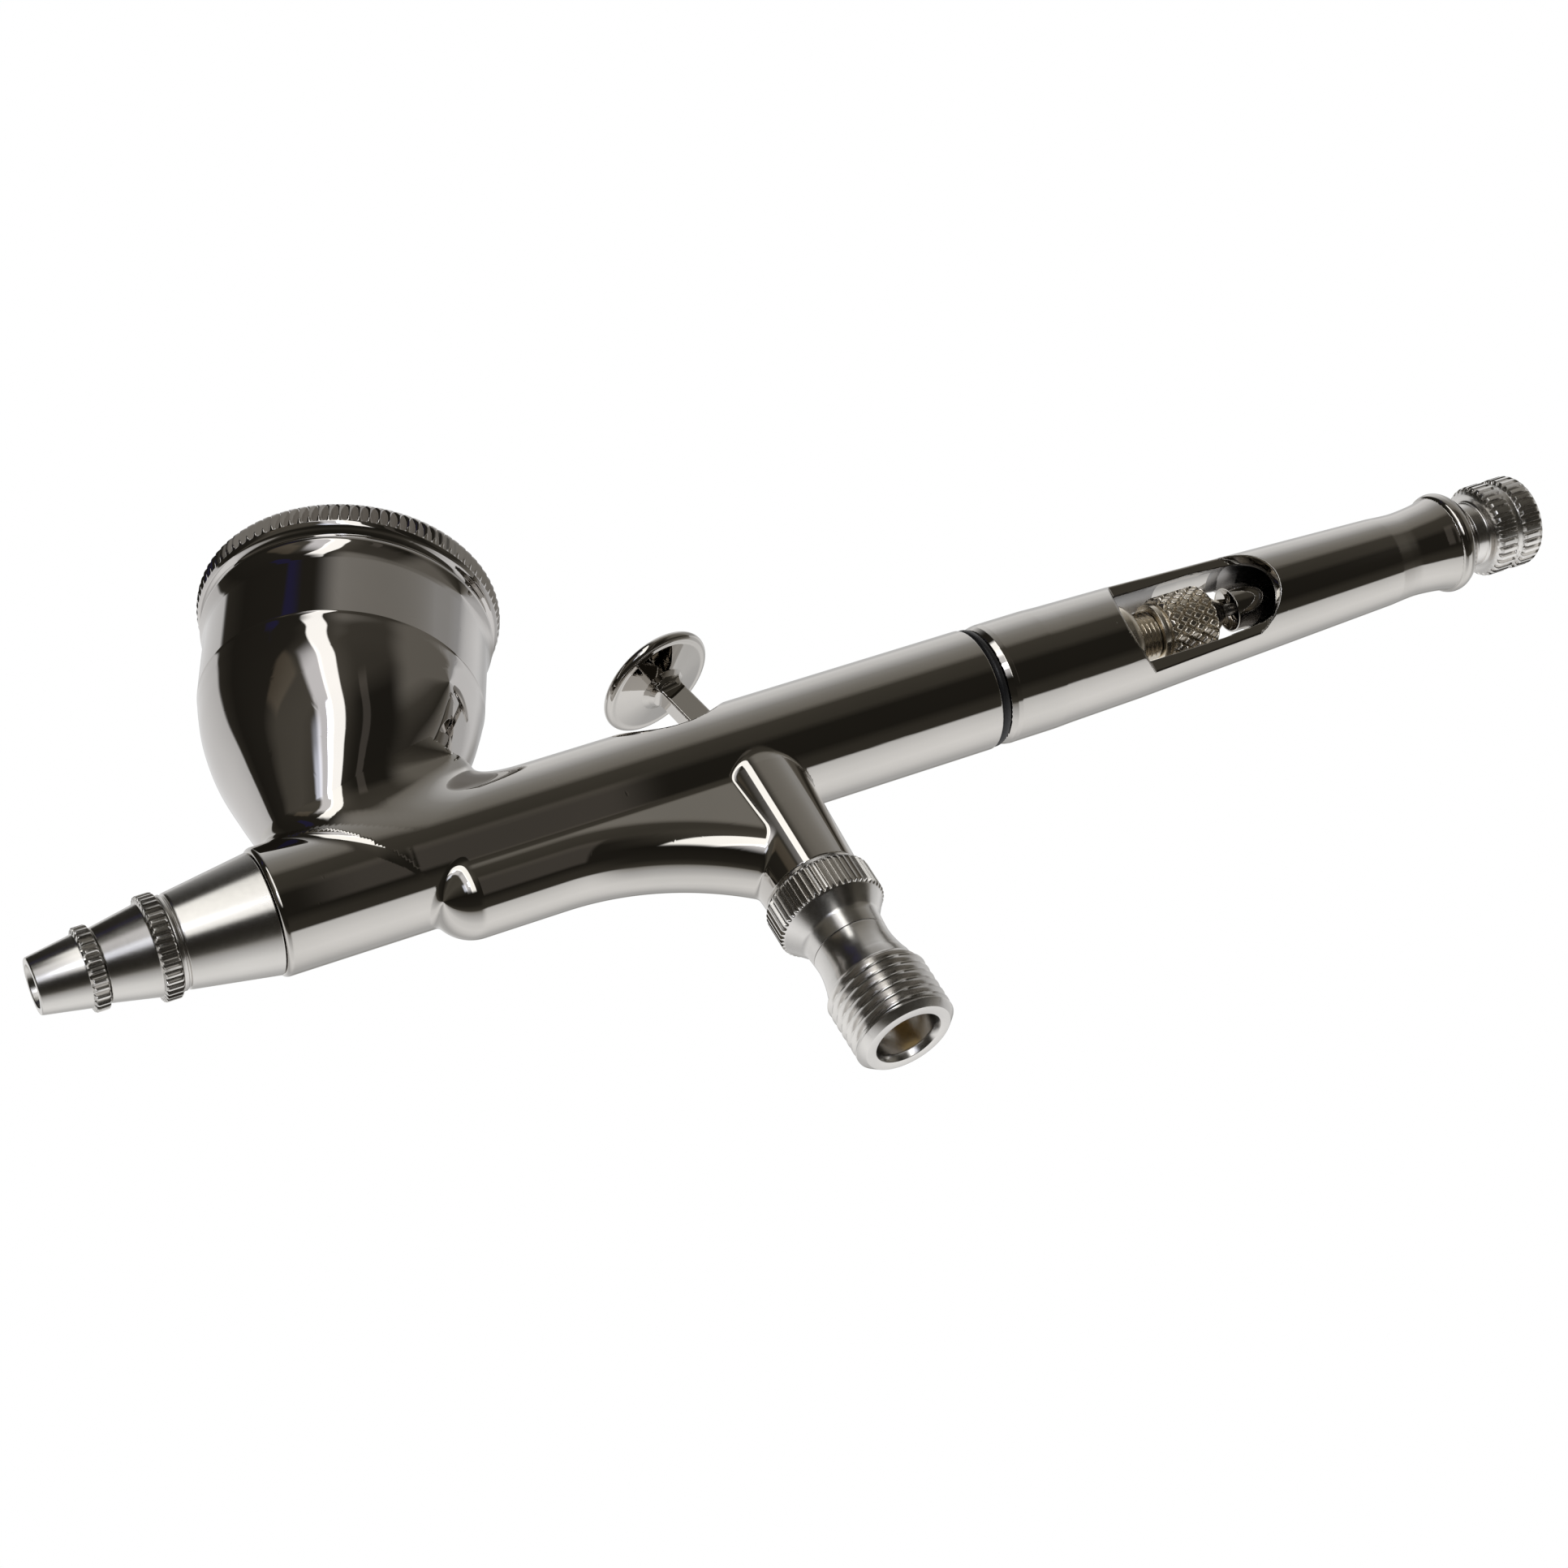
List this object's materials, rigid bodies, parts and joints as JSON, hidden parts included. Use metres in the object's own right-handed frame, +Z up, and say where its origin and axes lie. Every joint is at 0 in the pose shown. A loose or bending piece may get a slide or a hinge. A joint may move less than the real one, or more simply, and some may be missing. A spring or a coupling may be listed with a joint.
{
  "type": "airbrush gun",
  "caption": "Chrome double-action airbrush with a leaning gravity cup, a finger lever, a threaded hose inlet and a windowed handle with a needle stop.",
  "frame": {"origin": "centre of the hose thread's end face, on the air valve's axis", "axes": "+X along the barrel towards the tail knob, +Z up from the hose inlet to the barrel, finger lever and cup, Y across"},
  "size_m": [0.1602, 0.0288, 0.0722],
  "materials": {
    "chrome": "polished",
    "nickel": "bright nickel",
    "steel": "ground",
    "brass": "turned",
    "black_rubber": "smooth",
    "white_plastic": "satin"
  },
  "bodies": {
    "root": {"needle_cap": "chrome", "nozzle_cap": "chrome", "fluid_nozzle": "brass", "head": "chrome", "head_seal": "white_plastic", "body": "chrome", "paint_cup": "chrome", "needle_packing": "white_plastic", "packing_screw": "brass", "lever_pin": "steel", "spring_case": "chrome", "handle": "chrome", "handle_seal": "black_rubber", "stop_seal": "black_rubber", "valve_body": "chrome", "hose_connector": "chrome", "rod_packing": "white_plastic", "valve_spring": "steel", "valve_guide": "brass", "valve_gasket": "black_rubber", "needle_spring": "steel"},
    "lid": {"cup_lid": "chrome"},
    "piston": {"valve_piston": "brass", "plug_seal": "black_rubber"},
    "trigger": {"main_lever": "chrome"},
    "rocker": {"auxiliary_lever": "steel"},
    "needle_set": {"needle": "steel", "needle_guide": "nickel", "chuck_nut": "nickel"},
    "knob": {"stop_knob": "chrome"},
    "stop": {"stop_sleeve": "chrome"}
  },
  "joints": [
    {"name": "lid_lift", "type": "slide", "parent": "root", "child": "lid", "axis": [0.4289, 0, 0.9033], "range_m": [0, 0.03]},
    {"name": "trigger_press", "type": "slide", "parent": "root", "child": "piston", "axis": [0, 0, -1], "range_m": [0, 0.002], "stiffness_N_per_m": 300, "springref_m": -0.003, "deforming": ["valve_spring"]},
    {"name": "trigger_pull", "type": "hinge", "parent": "piston", "child": "trigger", "pos_m": [0, 0, 0.03005], "axis": [0, 1, 0], "range_deg": [0, 20]},
    {"name": "rocker_swing", "type": "hinge", "parent": "root", "child": "rocker", "pos_m": [0.0025, 0, 0.02985], "axis": [0, 1, 0], "range_deg": [0, 17.1]},
    {"name": "needle_travel", "type": "slide", "parent": "root", "child": "needle_set", "axis": [1, 0, 0], "range_m": [0, 0.00209], "stiffness_N_per_m": 800, "springref_m": -0.002},
    {"name": "stop_turn", "type": "hinge", "parent": "root", "child": "knob", "pos_m": [0.086, 0, 0.03425], "axis": [1, 0, 0], "range_deg": [0, 1080]},
    {"name": "stop_travel", "type": "slide", "parent": "root", "child": "stop", "axis": [1, 0, 0], "range_m": [0, 0.00224]}
  ],
  "couplings": [
    {"joint": "trigger_pull", "follows": "needle_travel", "rad_per_m": 166.67},
    {"joint": "rocker_swing", "follows": "needle_travel", "rad_per_m": 141.67},
    {"joint": "stop_turn", "follows": "stop_travel", "rad_per_m": 8377.6}
  ]
}
